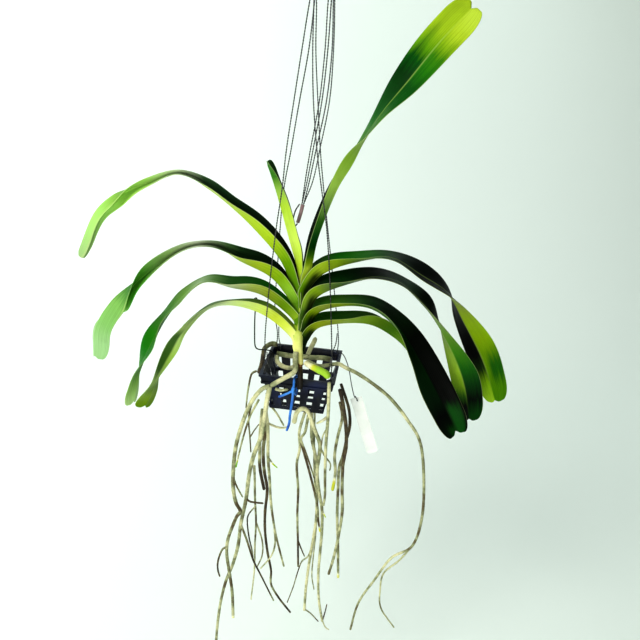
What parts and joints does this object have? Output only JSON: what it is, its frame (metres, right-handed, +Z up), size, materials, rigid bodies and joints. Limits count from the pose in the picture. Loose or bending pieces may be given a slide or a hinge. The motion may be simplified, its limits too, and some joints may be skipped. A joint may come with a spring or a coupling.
{
  "type": "aerides orchid in hanging basket",
  "caption": "Flowerless strap-leaved orchid tied into a small square slatted hanging basket, with long bare aerial roots, a twisted wire hanger and a blank tag.",
  "frame": {"origin": "inside top of the hanger's bend, where it rests on a nail or hook", "axes": "+Z up along the hanger, +X along the fan of leaves, +Y from the front of the basket to its back"},
  "size_m": [0.5737, 0.148, 0.9619],
  "materials": {
    "leaf": "smooth waxy green leaf with a paler under face",
    "stem": "pale yellow-green stem, dark at the foot",
    "root": "dull cream to olive grey root skin with brown stretches and green or yellow tips",
    "basket_plastic": "blue-black moulded plastic",
    "steel_wire": "twisted galvanised wire",
    "black_wire": "thin black wire",
    "sleeve": "dull pink sleeve",
    "tag_plastic": "blank white plastic tag",
    "tie_plastic": "soft blue plastic tie"
  },
  "bodies": {
    "root": {"leaf_left_0": "leaf", "leaf_left_1": "leaf", "leaf_left_2": "leaf", "leaf_left_3": "leaf", "leaf_left_4": "leaf", "leaf_right_1": "leaf", "leaf_right_2": "leaf", "leaf_right_3": "leaf", "leaf_right_4": "leaf", "leaf_right_5": "leaf", "stem": "stem", "root_left_main": "root", "root_left_inner": "root", "root_left_dark": "root", "root_left_thin": "root", "root_left_tip": "root", "root_left_rootlet": "root", "root_left_pair": "root", "root_left_wisp": "root", "root_centre_brown": "root", "root_centre_green": "root", "root_centre_pale": "root", "root_centre_cream": "root", "root_centre_slim": "root", "root_under_tip": "root", "root_right_yellow": "root", "root_right_long": "root", "root_right_straight": "root", "root_arch": "root", "root_green_tip": "root", "root_stub": "root", "root_back": "root", "root_loop": "root", "root_over_rim": "root", "root_under_left": "root", "root_under_right": "root", "root_front_left": "root", "root_slot_left": "root", "basket": "basket_plastic", "hanger_strand_front_left": "steel_wire", "hanger_strand_front_right": "steel_wire", "hanger_strand_back_left": "steel_wire", "hanger_strand_back_right": "steel_wire", "hanger_sleeve": "sleeve", "hanger_hook": "steel_wire", "hook_wire": "black_wire", "tag": "tag_plastic", "tag_wire": "black_wire", "blue_tie": "tie_plastic"}
  },
  "joints": []
}
